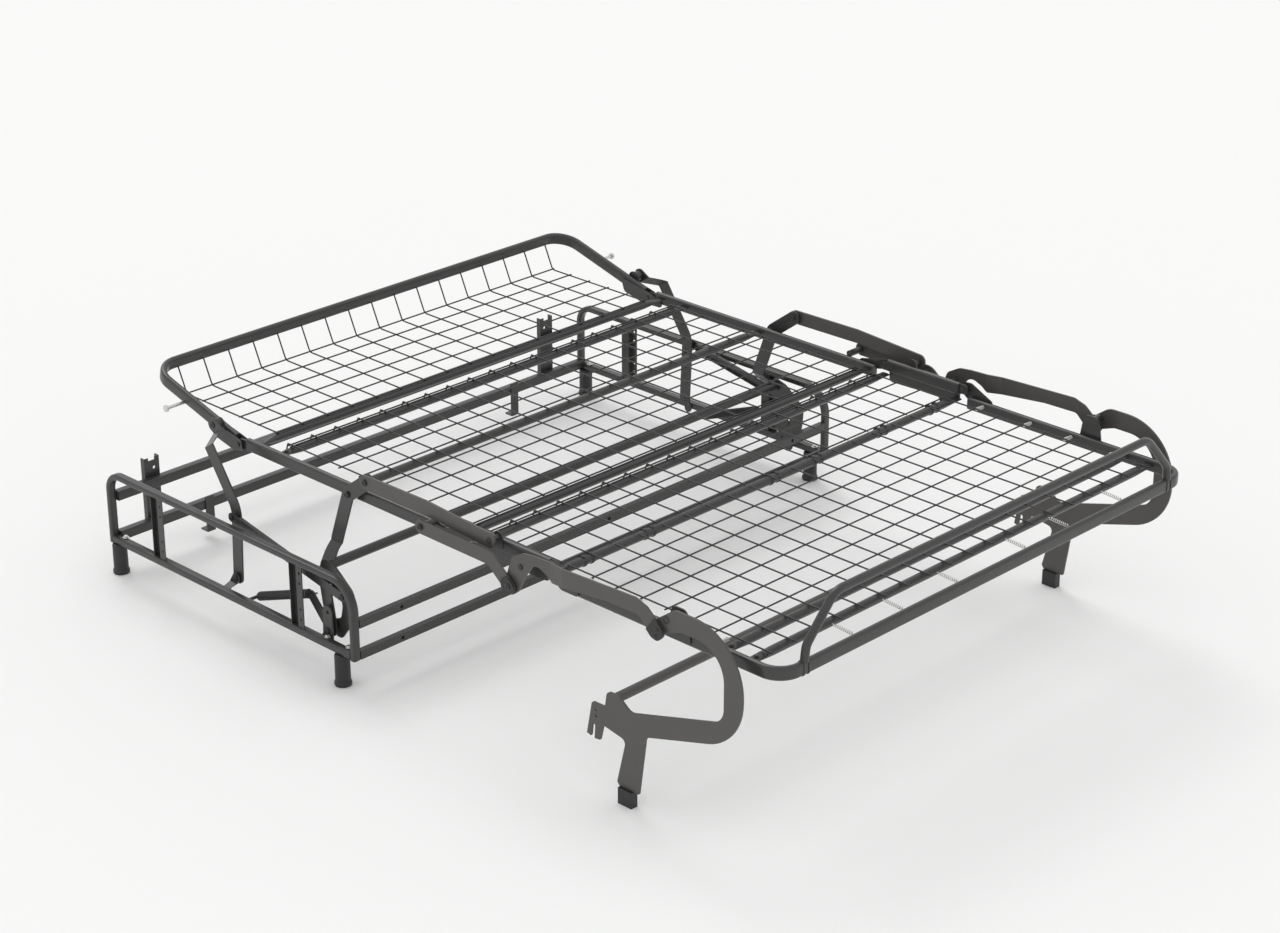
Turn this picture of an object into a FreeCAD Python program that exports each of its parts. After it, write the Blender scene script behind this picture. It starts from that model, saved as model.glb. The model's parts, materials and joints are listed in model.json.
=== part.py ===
import FreeCAD, Part
import math
import os

# Sofa bed mechanism, opened out flat as a bed.
# Four-bar side linkages carry a bed frame of oval tube and welded wire mesh on a low tube base.
# X runs across the width, the foot of the bed is towards -Y, and +Z is up.
# The origin is on the floor, under the middle of the open bed. Millimetres.
# Everything is drawn with Y = 0 at the rear feet and moved by ORIGIN_SHIFT when it is written.
# The right half is drawn at +X and mirrored in the plane X = 0.

V = FreeCAD.Vector
os.makedirs("parts", exist_ok=True)

# Driving dimensions of the base
BASE_REAR_Y = 25.0
BASE_FRONT_Y = -858.0
HOOP_X = 770.0
HOOP_WIDTH = 20.0
HOOP_THICK = 15.0
HOOP_TOP = 260.0
HOOP_REAR_RADIUS = 50.0
HOOP_FRONT_RADIUS = 72.0
RAIL_LOW = 76.0
RAIL_HIGH = 94.0
FOOT_YS = (0.0, -805.0)
UPRIGHT_YS = (-144.0, -642.0)
UPRIGHT_WIDTH = 44.0
UPRIGHT_STRIP = 20.0
UPRIGHT_HOLE_ZS = (114.5, 139.5, 202.5, 227.5)
UPRIGHT_HOLE_R = 3.4
SHEET = 2.0
REAR_RAIL_ZS = ((78.0, 102.0), (180.0, 204.0))
FRONT_RAIL_ZS = ((76.0, 96.0), (151.0, 171.0))
REAR_RAIL_Y = (0.0, 22.0)
FRONT_RAIL_Y = (-858.0, -843.0)
FRONT_RAIL_HOLE_XS = (-640.0, 0.0, 640.0)
BACK_BRACKET_X = (625.0, 668.0)
BACK_BRACKET_Z = (87.0, 250.0)
FLOOR_BRACKET_X = (492.0, 516.0)
BACK_FLANGE = 14.0

# Driving dimensions of the bed frame
RETAINER_R = 9.0
BED_X = 660.0
TUBE_W = 15.0
TUBE_H = 30.0
TUBE_CORNER = 6.5
BED_Z = 407.0
FOOT_END_Y = -1985.0
FOOT_CORNER_R = 48.0
HEAD_TILT = 15.4
HEAD_LENGTH = 345.0
HEAD_CORNER_R = 60.0
CROSS_R = 10.0
MESH_Z = 420.0
MESH_PITCH = 68.4
MESH_HALF_COUNT = 9
WIRE = 3.0
CROSS_Z = MESH_Z - WIRE / 2 - CROSS_R
BASKET_PITCH = 74.0
BASKET_HALF_COUNT = 8

# Pivots of the side linkage, as (y, z)
REAR_LINK_PIVOT = (-404.0, 113.0)
FRONT_LINK_PIVOT = (-742.0, 104.0)
SEAT_PIVOT = (-746.0, 409.0)
UPPER_STRAP_PIVOT = (-815.7, 461.3)
HEAD_PIVOT = (-348.5, 401.7)
HEAD_LINK_PIVOT = (-285.0, 437.0)
BRACE_REAR_PIVOT = (-410.6, 266.6)
BRACE_FRONT_PIVOT = (-786.0, 197.0)
KNEE_PIVOT = (-1126.0, 429.5)
LOWER_STRAP_PIVOT = (-1011.0, 426.4)
UPPER_STRAP_END = (-1204.0, 452.7)
ARM_HOOK_PIVOT = (-1278.8, 379.5)
ARM_PIVOT = (-1308.0, 430.5)
FOOT_PIVOT = (-1365.0, 437.0)
LEG_PIVOT = (-1720.0, 457.0)
LEG_ARM_PIVOT = (-1689.0, 417.0)
LEVER_END = (-684.0, 167.0)
SPRING_ANCHOR = (-471.0, 86.0)

# Layers of the side linkage, as (inner x, outer x) on the right
RAIL_PLATE = (667.5, 671.0)
UPPER_LINK = (682.0, 687.0)
UPPER_STRAP = (690.0, 695.0)
OUTER_STRAP = (701.5, 706.5)
ARM_REAR = (700.5, 704.5)
ARM = (708.0, 712.0)
LOWER_STRAP = (707.7, 711.7)
CURVED_PLATE = (730.0, 734.0)
FRONT_PLATE = (740.0, 744.5)
LEVER = (746.0, 750.0)
BRACE_WEB = (746.0, 748.0)
BRACE_FLANGE = 739.5
FRONT_BRACKET = (752.0, 756.0)
REAR_BRACKET = (738.0, 742.0)
REAR_LINK_LOW = (731.0, 735.0)
REAR_LINK_TOP = 686.0
SPRING_X = 733.0
SPRING_R = 11.0
PIN_R = 5.0
HOLE_R = 5.3
HEAD_R = 8.0

# The open bed reaches from the retainer hoop to the flanges of the back brackets
FRONT_EXTENT = FOOT_END_Y + TUBE_W / 2 - RETAINER_R
REAR_EXTENT = REAR_RAIL_Y[1] + BACK_FLANGE
ORIGIN_SHIFT = -(FRONT_EXTENT + REAR_EXTENT) / 2


# Basic solids and outlines

def block(x, y, z):
    """Box between (low, high) pairs."""
    return Part.makeBox(x[1] - x[0], y[1] - y[0], z[1] - z[0], V(x[0], y[0], z[0]))


def mirrored(shape):
    """The same piece on the other side of the plane X = 0."""
    return shape.mirror(V(0, 0, 0), V(1, 0, 0))


def both(shape):
    return [shape, mirrored(shape)]


def export(name, solids):
    """Write one sub-part, made of one solid or of several that stay apart, in the part's own frame."""
    shape = solids[0] if len(solids) == 1 else Part.makeCompound(solids)
    shape.translate(V(0, ORIGIN_SHIFT, 0))
    shape.exportStep("parts/" + name + ".step")


def fused(solids):
    shape = solids[0]
    for other in solids[1:]:
        shape = shape.fuse(other)
    return shape.removeSplitter()


def largest(shape):
    """The biggest solid of a shape that a cut has split."""
    return max(shape.Solids, key=lambda solid: solid.Volume)


def corner_edges(points, radii, closed):
    """Straight edges through the points, with an arc of the given radius at each corner."""
    count = len(points)
    entries = []
    for i, point in enumerate(points):
        radius = radii[i]
        if radius <= 0 or (not closed and i in (0, count - 1)):
            entries.append((point, None, point))
            continue
        back = (points[i - 1] - point).normalize()
        ahead = (points[(i + 1) % count] - point).normalize()
        half = back.getAngle(ahead) / 2
        if half > math.pi / 2 - 0.001:
            entries.append((point, None, point))
            continue
        reach = radius / math.tan(half)
        middle = (back + ahead).normalize() * (radius / math.sin(half) - radius)
        entries.append((point + back * reach, point + middle, point + ahead * reach))
    edges = []
    for i, (start, middle, end) in enumerate(entries):
        if middle is not None:
            edges.append(Part.Arc(start, middle, end).toShape())
        if i + 1 < count or closed:
            following = entries[(i + 1) % count][0]
            if end.distanceToPoint(following) > 0.001:
                edges.append(Part.LineSegment(end, following).toShape())
    return edges


def side_plate(corners, x, holes=()):
    """Plate across X with a side outline of (y, z, corner radius) and holes of (y, z, radius)."""
    points = [V(x[0], c[0], c[1]) for c in corners]
    wires = [Part.Wire(corner_edges(points, [c[2] for c in corners], True))]
    for y, z, radius in holes:
        circle = Part.makeCircle(radius, V(x[0], y, z), V(1, 0, 0))
        wires.append(Part.Wire([circle]))
    face = Part.makeFace(wires, "Part::FaceMakerBullseye")
    return face.extrude(V(x[1] - x[0], 0, 0))


def strap_corners(line, width, ends=(0.5, 0.5)):
    """Outline of a flat bar along a side line of (y, z, bend radius), with round ends.

    The ends run past the first and last point by a share of the width.
    """
    points = [V(0, p[0], p[1]) for p in line]
    first = (points[0] - points[1]).normalize()
    last = (points[-1] - points[-2]).normalize()
    points[0] = points[0] + first * (width * ends[0])
    points[-1] = points[-1] + last * (width * ends[1])
    half = width / 2
    left = []
    right = []
    for i, point in enumerate(points):
        if i == 0:
            normal = V(0, first.z, -first.y)
            grow = 1.0
            bend = None
        elif i == len(points) - 1:
            normal = V(0, -last.z, last.y)
            grow = 1.0
            bend = None
        else:
            before = (point - points[i - 1]).normalize()
            after = (points[i + 1] - point).normalize()
            first_normal = V(0, -before.z, before.y)
            second_normal = V(0, -after.z, after.y)
            normal = (first_normal + second_normal).normalize()
            grow = 1 / normal.dot(first_normal)
            turn = before.y * after.z - before.z * after.y
            bend = line[i][2]
        offset = normal * (half * grow)
        if bend is None:
            radii = (half * 0.98, half * 0.98)
        elif turn > 0:
            radii = (max(bend - half, 2.0), bend + half)
        else:
            radii = (bend + half, max(bend - half, 2.0))
        left.append(((point + offset).y, (point + offset).z, radii[0]))
        right.append(((point - offset).y, (point - offset).z, radii[1]))
    return left + right[::-1]


def strap(line, width, x, holes=()):
    """Flat bar in one layer."""
    return side_plate(strap_corners(line, width), x, holes)


def joggled(corners, origin, towards, stations, thick, holes=()):
    """Plate with a side outline that steps across X along a direction in the side plane.

    stations are (distance from origin, inner x); the plate keeps its thickness across X.
    """
    lows = [x for _, x in stations]
    blank = side_plate(corners, (min(lows) - 1, max(lows) + thick + 1), holes)
    along = (V(0, towards[0], towards[1]) - V(0, origin[0], origin[1])).normalize()
    across = V(0, -along.z, along.y) * 900
    start = V(0, origin[0], origin[1])
    inner = [start + along * s + V(x, 0, 0) - across for s, x in stations]
    outer = [start + along * s + V(x + thick, 0, 0) - across for s, x in stations]
    band = Part.Face(Part.makePolygon(inner + outer[::-1] + inner[:1]))
    return blank.common(band.extrude(across * 2))


def pin(pivot, x, radius=PIN_R):
    """Round pin across X at a pivot."""
    return Part.makeCylinder(radius, x[1] - x[0], V(x[0], pivot[0], pivot[1]), V(1, 0, 0))


def cross_bar(y, z, half, radius):
    """Round tube across the full width."""
    return Part.makeCylinder(radius, 2 * half, V(-half, y, z), V(1, 0, 0))


def oval_wire(centre, across, upward):
    """Section of the bed tube: a rectangle with well rounded corners."""
    points = []
    for a, b in ((-1, -1), (1, -1), (1, 1), (-1, 1)):
        points.append(centre + across * (a * TUBE_W / 2) + upward * (b * TUBE_H / 2))
    return Part.Wire(corner_edges(points, [TUBE_CORNER] * 4, True))


def swept(points, radii, section):
    """Section swept along a path with round bends."""
    path = Part.Wire(corner_edges(points, radii, False))
    return path.makePipeShell([section], True, False)


def lattice(xs, ys, z):
    """Welded wire mesh as one plate with a window between each four wires."""
    half = WIRE / 2
    outer = Part.makePolygon([
        V(xs[0] - half, ys[0] - half, z - half),
        V(xs[-1] + half, ys[0] - half, z - half),
        V(xs[-1] + half, ys[-1] + half, z - half),
        V(xs[0] - half, ys[-1] + half, z - half),
        V(xs[0] - half, ys[0] - half, z - half),
    ])
    wires = [outer]
    for x_low, x_high in zip(xs, xs[1:]):
        for y_low, y_high in zip(ys, ys[1:]):
            wires.append(Part.makePolygon([
                V(x_low + half, y_low + half, z - half),
                V(x_high - half, y_low + half, z - half),
                V(x_high - half, y_high - half, z - half),
                V(x_low + half, y_high - half, z - half),
                V(x_low + half, y_low + half, z - half),
            ]))
    face = Part.makeFace(wires, "Part::FaceMakerBullseye")
    return face.extrude(V(0, 0, WIRE))


def mesh_columns():
    return [i * MESH_PITCH for i in range(-MESH_HALF_COUNT, MESH_HALF_COUNT + 1)]


# The base

def side_hoop():
    """Bent flat-oval tube: two uprights and the top rail of one side frame."""
    def outline(inset, radii):
        rear = BASE_REAR_Y - inset
        front = BASE_FRONT_Y + inset
        top = HOOP_TOP - inset
        points = [V(0, rear, RAIL_LOW), V(0, rear, top), V(0, front, top), V(0, front, RAIL_LOW)]
        return corner_edges(points, [0, radii[0], radii[1], 0], False)
    x = HOOP_X - HOOP_WIDTH / 2
    outer = outline(0, (HOOP_REAR_RADIUS, HOOP_FRONT_RADIUS))
    inner = outline(HOOP_THICK, (HOOP_REAR_RADIUS - HOOP_THICK, HOOP_FRONT_RADIUS - HOOP_THICK))
    rear_end = Part.makeLine(V(0, BASE_REAR_Y, RAIL_LOW), V(0, BASE_REAR_Y - HOOP_THICK, RAIL_LOW))
    front_end = Part.makeLine(V(0, BASE_FRONT_Y, RAIL_LOW), V(0, BASE_FRONT_Y + HOOP_THICK, RAIL_LOW))
    wire = Part.Wire(Part.sortEdges(outer + inner + [rear_end, front_end])[0])
    hoop = Part.Face(wire).extrude(V(HOOP_WIDTH, 0, 0))
    hoop.translate(V(x, 0, 0))
    return hoop


def bottom_rail():
    """Lower rail of one side frame, between the two uprights of the hoop."""
    y = (BASE_FRONT_Y + HOOP_THICK, BASE_REAR_Y - HOOP_THICK)
    rail = block((HOOP_X - 10, HOOP_X + 10), y, (RAIL_LOW, RAIL_HIGH))
    for hole_y in (-235.0, -605.0):
        rail = rail.cut(pin((hole_y, 86.0), (HOOP_X - 12, HOOP_X + 12), 4.0))
    return rail


def perforated_upright(rear_y):
    """Z-folded strip standing between the rails, with one column of holes in its outer strip."""
    front_y = rear_y - UPRIGHT_WIDTH
    fold_y = front_y + UPRIGHT_STRIP
    outer = 776.0
    inner = 763.0
    points = [
        (outer, front_y), (outer, fold_y), (inner + SHEET, fold_y), (inner + SHEET, rear_y - SHEET),
        (outer, rear_y - SHEET), (outer, rear_y), (inner, rear_y), (inner, fold_y - SHEET),
        (outer - SHEET, fold_y - SHEET), (outer - SHEET, front_y), (outer, front_y),
    ]
    wire = Part.makePolygon([V(x, y, RAIL_HIGH) for x, y in points])
    solid = Part.Face(wire).extrude(V(0, 0, HOOP_TOP - HOOP_THICK - RAIL_HIGH))
    for z in UPRIGHT_HOLE_ZS:
        solid = solid.cut(pin((front_y + 9.0, z), (outer - 4, outer + 1), UPRIGHT_HOLE_R))
    return solid


def cross_rails(zs, y, hole_xs, hole_r):
    """Two tubes across the width between the side frames."""
    half = HOOP_X - HOOP_WIDTH / 2
    rails = []
    for z in zs:
        rail = block((-half, half), y, z)
        for x in hole_xs:
            middle = (z[0] + z[1]) / 2
            rail = rail.cut(Part.makeCylinder(hole_r, y[1] - y[0] + 2, V(x, y[0] - 1, middle), V(0, 1, 0)))
        rails.append(rail)
    return rails


def back_bracket():
    """Folded upright across both rear rails that a back panel is screwed to."""
    x, z = BACK_BRACKET_X, BACK_BRACKET_Z
    y = REAR_RAIL_Y[1]
    notch = 8.0
    web = block(x, (y, y + 3), z)
    web = web.cut(block((x[0] + 12, x[1] - 12), (y - 1, y + 4), (z[1] - notch, z[1] + 1)))
    flanges = [block((x[0], x[0] + 3), (y, y + BACK_FLANGE), z), block((x[1] - 3, x[1]), (y, y + BACK_FLANGE), z)]
    bracket = fused([web] + flanges)
    for hole_z in (223.0, 129.0):
        bracket = bracket.cut(Part.makeCylinder(4.0, 8, V(x[0] + 15, y - 2, hole_z), V(0, 1, 0)))
    return bracket


def floor_bracket():
    """Angle on the lower rear rail whose flat toe can be screwed down."""
    x = FLOOR_BRACKET_X
    upright = block(x, (-4.0, 0.0), (20.0, 112.0))
    toe = block(x, (-4.0, 22.0), (20.0, 24.0))
    return fused([upright, toe])


def foot(y):
    """Plastic foot under the side frame."""
    stem = Part.makeCylinder(17.5, RAIL_LOW - 8, V(HOOP_X, y, 8))
    flange = Part.makeCylinder(19.75, 10, V(HOOP_X, y, 0))
    return fused([stem, flange])


def pivot_bracket(foot_y, pivot, layer, width):
    """Bent lug from the inner face of the bottom rail up to a base pivot, with its rivet."""
    corners = strap_corners([(foot_y, RAIL_LOW + 2, 0), (foot_y, RAIL_HIGH, 8), (pivot[0], pivot[1], 0)], width)
    root = HOOP_X - HOOP_WIDTH / 2 - 4
    stations = [(-60, root), (14, root), (22, layer[0]), (80, layer[0])]
    lug = joggled(corners, (foot_y, RAIL_LOW), (foot_y, RAIL_LOW + 50), stations, 4.0)
    return lug


def base_brackets():
    rear = pivot_bracket(-392.0, REAR_LINK_PIVOT, REAR_BRACKET, 22.0)
    rear = fused([rear, pin(REAR_LINK_PIVOT, (728.0, REAR_BRACKET[1] + 2))])
    front = strap([(FRONT_LINK_PIVOT[0], 80, 0), (-744.0, 149.0, 0)], 32.0, FRONT_BRACKET)
    front = front.cut(pin((-745.0, 149.0), (740, 760), 4.0))
    pad = block((FRONT_BRACKET[0], HOOP_X - HOOP_WIDTH / 2), (-756.0, -728.0), (RAIL_LOW, RAIL_HIGH))
    front = fused([front, pad, pin(FRONT_LINK_PIVOT, (727.0, FRONT_BRACKET[1] + 2))])
    anchor = pin(SPRING_ANCHOR, (SPRING_X - 4, HOOP_X - HOOP_WIDTH / 2), 4.0)
    return [rear, front, anchor]


# The links of the side frames

def rear_link():
    """Strap from the base up to a tab on the head frame, stepping inwards near its top."""
    line = [
        (REAR_LINK_PIVOT[0], REAR_LINK_PIVOT[1], 0),
        (-412.0, 282.0, 60),
        (-322.0, 416.0, 30),
        (HEAD_LINK_PIVOT[0], HEAD_LINK_PIVOT[1], 0),
    ]
    low, high = REAR_LINK_LOW[0], REAR_LINK_TOP
    stations = [(-200, low), (292, low), (318, high), (500, high)]
    holes = [(REAR_LINK_PIVOT[0], REAR_LINK_PIVOT[1], HOLE_R)]
    leaning = (REAR_LINK_PIVOT[0] + 88.0, REAR_LINK_PIVOT[1] + 130.0)
    link = joggled(strap_corners(line, 33.0), REAR_LINK_PIVOT, leaning, stations, 4.0, holes)
    brace_pin = pin(BRACE_REAR_PIVOT, (734.0, BRACE_WEB[1] + 2.5))
    spacer = pin(BRACE_REAR_PIVOT, (734.0, BRACE_WEB[0] - 0.4), 8.0)
    return fused([link, brace_pin, spacer])


def brace():
    """Folded channel from the rear link to the curved plate of the front link."""
    rear = V(0, BRACE_REAR_PIVOT[0], BRACE_REAR_PIVOT[1])
    front = V(0, BRACE_FRONT_PIVOT[0], BRACE_FRONT_PIVOT[1])
    line = [(rear.y, rear.z, 0), (front.y, front.z, 0)]
    web = strap(line, 22.0, BRACE_WEB, [(rear.y, rear.z, HOLE_R)])
    along = (front - rear).normalize()
    across = V(0, -along.z, along.y)
    length = rear.distanceToPoint(front)
    flanges = []
    for low in (-11.0, 9.0):
        corners = []
        for distance, side in ((24, low), (length - 110, low), (length - 110, low + 2), (24, low + 2)):
            point = rear + along * distance + across * side
            corners.append((point.y, point.z, 0))
        flanges.append(side_plate(corners, (BRACE_FLANGE, BRACE_WEB[1])))
    rivet = pin(BRACE_FRONT_PIVOT, (CURVED_PLATE[1] + 1.5, BRACE_WEB[1] + 2.5), 7.0)
    return fused([web, rivet] + flanges)


def front_link():
    """Bell crank: an outer base plate, a strap stepping inwards and a short arm past the seat pivot."""
    line = [
        (FRONT_LINK_PIVOT[0], FRONT_LINK_PIVOT[1], 0),
        (-725.0, 205.0, 60),
        (-697.0, 274.0, 40),
        (SEAT_PIVOT[0], SEAT_PIVOT[1], 18),
        (UPPER_STRAP_PIVOT[0], UPPER_STRAP_PIVOT[1], 0),
    ]
    stations = [(-80, FRONT_PLATE[0]), (118, FRONT_PLATE[0]), (178, UPPER_LINK[0]), (500, UPPER_LINK[0])]
    holes = [
        (FRONT_LINK_PIVOT[0], FRONT_LINK_PIVOT[1], HOLE_R),
        (SEAT_PIVOT[0], SEAT_PIVOT[1], HOLE_R),
    ]
    above = (FRONT_LINK_PIVOT[0], FRONT_LINK_PIVOT[1] + 100)
    crank = joggled(strap_corners(line, 34.0), FRONT_LINK_PIVOT, above, stations, 4.5, holes)
    strap_pin = pin(UPPER_STRAP_PIVOT, (UPPER_LINK[0] - 4, UPPER_STRAP[1] + 2))
    stack = pin(UPPER_STRAP_PIVOT, (UPPER_LINK[1], UPPER_STRAP[0] - 0.4), 11.0)
    return fused([crank, strap_pin, stack])


def curved_plate():
    """Inner base plate of the bell crank, bulging forwards to carry the end of the brace."""
    corners = [
        (-716.0, 262.0, 10), (-752.0, 252.0, 30), (-812.0, 206.0, 34), (-806.0, 140.0, 70),
        (-764.0, 84.0, 14), (-728.0, 86.0, 14), (-733.0, 122.0, 10), (-764.0, 134.0, 16),
        (-772.0, 172.0, 26), (-752.0, 196.0, 20), (-708.0, 222.0, 8), (-700.0, 250.0, 10),
    ]
    holes = [(FRONT_LINK_PIVOT[0], FRONT_LINK_PIVOT[1], HOLE_R)]
    return largest(side_plate(corners, CURVED_PLATE, holes).cut(front_link()))


def torsion_tube():
    """Round tube that makes the bell cranks of both sides turn together."""
    link = front_link()
    return largest(cross_bar(-717.0, 243.0, CURVED_PLATE[0], 11.0).cut(link).cut(mirrored(link)))


def spring_lever():
    """Short lever fixed to the bell crank that the spring pulls on."""
    line = [(FRONT_LINK_PIVOT[0], FRONT_LINK_PIVOT[1], 0), (LEVER_END[0], LEVER_END[1], 0)]
    holes = [
        (FRONT_LINK_PIVOT[0], FRONT_LINK_PIVOT[1], HOLE_R),
        (LEVER_END[0], LEVER_END[1], 3.0),
    ]
    lever = strap(line, 24.0, LEVER, holes)
    tie = pin((-730.0, 117.0), (FRONT_PLATE[1], LEVER[1]), 4.0)
    return fused([lever, tie])


def tension_spring():
    """Close-wound spring between the bottom rail and the lever, with a hook at each end."""
    start = V(SPRING_X, SPRING_ANCHOR[0], SPRING_ANCHOR[1])
    end = V(SPRING_X, LEVER_END[0], LEVER_END[1])
    along = (end - start).normalize()
    length = start.distanceToPoint(end)
    coil = Part.makeCylinder(SPRING_R, length - 42, start + along * 8, along)
    hook = Part.makeCylinder(1.8, length - 11, start + along * 5, along)
    return coil.fuse(hook)


# The seat section

def bed_side(y_low, y_high):
    """One straight side tube of the bed frame."""
    section = oval_wire(V(BED_X, y_low, BED_Z), V(1, 0, 0), V(0, 0, 1))
    return Part.Face(section).extrude(V(0, y_high - y_low, 0))


def seat_side_rail():
    """Side tube with its end plates and the rivets that the links turn on."""
    rail = bed_side(KNEE_PIVOT[0] + 30, HEAD_PIVOT[0] - 26)
    knee_ear = strap([(KNEE_PIVOT[0], KNEE_PIVOT[1], 0), (-1050.0, 412.0, 0)], 24.0, (669.0, 672.5))
    knee_web = block((664.0, 670.0), (-1088.0, -1052.0), (404.0, 416.0))
    head_ear = strap([(HEAD_PIVOT[0], HEAD_PIVOT[1], 0), (-400.0, 405.0, 0)], 24.0, (657.0, 663.0))
    seat_stub = pin(SEAT_PIVOT, (664.0, UPPER_LINK[1] + 2.5))
    seat_spacer = pin(SEAT_PIVOT, (664.0, UPPER_LINK[0] - 0.4), 9.0)
    strap_stub = pin(LOWER_STRAP_PIVOT, (664.0, LOWER_STRAP[1] + 2.5))
    strap_spacer = pin(LOWER_STRAP_PIVOT, (664.0, LOWER_STRAP[0] - 0.4), 8.0)
    knee_pin = pin(KNEE_PIVOT, (656.0, 674.0))
    head_pin = pin(HEAD_PIVOT, (647.5, 673.0))
    return fused([rail, knee_ear, knee_web, head_ear, seat_stub, seat_spacer, strap_stub, strap_spacer,
                  knee_pin, head_pin])


def seat_cross_tubes():
    return [cross_bar(y, CROSS_Z, BED_X - TUBE_W / 2, CROSS_R) for y in (-475.0, -726.0, -1074.0)]


def seat_mesh():
    rows = [-1065.0] + [-983.6 + i * MESH_PITCH for i in range(8)] + [-466.0]
    return lattice(mesh_columns(), rows, MESH_Z)


# The head section

def head_point(along, up, x=0.0):
    """Point on the tilted head frame, from the hinge along its side tubes."""
    angle = math.radians(HEAD_TILT)
    y = HEAD_PIVOT[0] + along * math.cos(angle) - up * math.sin(angle)
    z = HEAD_PIVOT[1] + along * math.sin(angle) + up * math.cos(angle)
    return V(x, y, z)


def head_tube():
    """Tilted U of oval tube at the head end."""
    points = [head_point(16, 2, BED_X), head_point(HEAD_LENGTH - 13, 2, BED_X),
              head_point(HEAD_LENGTH - 13, 2, -BED_X), head_point(16, 2, -BED_X)]
    angle = math.radians(HEAD_TILT)
    upward = V(0, -math.sin(angle), math.cos(angle))
    section = oval_wire(points[0], V(1, 0, 0), upward)
    return swept(points, [0, HEAD_CORNER_R, HEAD_CORNER_R, 0], section)


def head_hinge_plate():
    """Saddle on both faces of the head tube's end, with the pad that the rear link turns on."""
    corners = [
        (-338.0, 418.0, 8), (-362.0, 412.0, 12), (-362.0, 388.0, 12), (-330.0, 384.0, 8),
        (-266.0, 398.0, 14), (-254.0, 434.0, 6),
    ]
    holes = [(HEAD_PIVOT[0], HEAD_PIVOT[1], HOLE_R)]
    tube = BED_X - TUBE_W / 2, BED_X + TUBE_W / 2
    outer = side_plate(corners, (tube[1], tube[1] + 3.0), holes)
    lug = side_plate([(-302.0, 408.0, 4), (-262.0, 416.0, 6), (-268.0, 449.0, 14), (-300.0, 451.0, 14)],
                     (tube[1], tube[1] + 3.0))
    pad = pin(HEAD_LINK_PIVOT, (tube[1] + 3.0, REAR_LINK_TOP - 1.5), 13.0)
    inner_corners = corners[:2] + [(-398.0, 400.0, 8), (-398.0, 386.0, 8)] + corners[3:]
    inner = side_plate(inner_corners, (tube[0] - 3.0, tube[0]), holes)
    return [fused([outer, lug, pad]), inner]


def head_cross_tube():
    """Tube behind the head hinge that the head wires are welded to."""
    return cross_bar(-392.0, CROSS_Z, BED_X - TUBE_W / 2 - 3.0, CROSS_R)


def head_basket():
    """Wires that run flat over the head section and turn up to its end tube."""
    xs = [i * BASKET_PITCH for i in range(-BASKET_HALF_COUNT, BASKET_HALF_COUNT + 1)]
    rows = [-394.0, -330.0, -262.0, -194.0, -126.0, -62.0]
    floor = lattice(xs, rows, MESH_Z)
    bend = V(0, -62.0, MESH_Z)
    end = head_point(HEAD_LENGTH - 14, 0)
    rise = end - bend
    solids = [floor]
    for x in xs:
        bar = Part.makePolygon([V(x - 1.5, bend.y - 1.5, bend.z - 1.5), V(x + 1.5, bend.y - 1.5, bend.z - 1.5),
                                V(x + 1.5, bend.y + 1.5, bend.z - 1.5), V(x - 1.5, bend.y + 1.5, bend.z - 1.5),
                                V(x - 1.5, bend.y - 1.5, bend.z - 1.5)])
        solids.append(Part.Face(bar).extrude(rise))
    shape = solids[0]
    for solid in solids[1:]:
        shape = shape.fuse(solid)
    return shape.cut(head_tube())


def head_stud():
    """Zinc stud on the head tube that keeps the mattress strap in place."""
    centre = (-152.0, 447.0)
    shank = pin(centre, (BED_X + TUBE_W / 2, 716.0), 4.0)
    head = pin(centre, (716.0, 721.0), 8.0)
    return fused([shank, head])


# The straps of the knee

def upper_strap():
    line = [(UPPER_STRAP_PIVOT[0], UPPER_STRAP_PIVOT[1], 0), (-1010.0, 464.0, 40),
            (UPPER_STRAP_END[0], UPPER_STRAP_END[1], 0)]
    holes = [(UPPER_STRAP_PIVOT[0], UPPER_STRAP_PIVOT[1], HOLE_R)]
    return strap(line, 34.0, UPPER_STRAP, holes)


def strap_cap():
    """Plastic cap round the lower end of the lower strap, in two cheeks that clasp it."""
    end = V(0, ARM_HOOK_PIVOT[0], ARM_HOOK_PIVOT[1])
    back = (V(0, -1222.0, 425.0) - end).normalize() * 22
    line = [(end.y + back.y, end.z + back.z, 0), (end.y, end.z, 0)]
    corners = strap_corners(line, 34.0, (0.0, 0.5))
    outer = side_plate(corners, (LOWER_STRAP[1], LOWER_STRAP[1] + 3.0))
    inner = side_plate(corners, (LOWER_STRAP[0] - 1.6, LOWER_STRAP[0]))
    return [outer, inner]


def lower_strap():
    """Strap from the seat rail, bent down to its rounded end."""
    line = [(LOWER_STRAP_PIVOT[0], LOWER_STRAP_PIVOT[1], 0), (-1050.0, 426.0, 60),
            (-1222.0, 425.0, 20), (ARM_HOOK_PIVOT[0], ARM_HOOK_PIVOT[1], 0)]
    holes = [(LOWER_STRAP_PIVOT[0], LOWER_STRAP_PIVOT[1], HOLE_R)]
    return strap(line, 32.0, LOWER_STRAP, holes)


# The knee section

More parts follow.
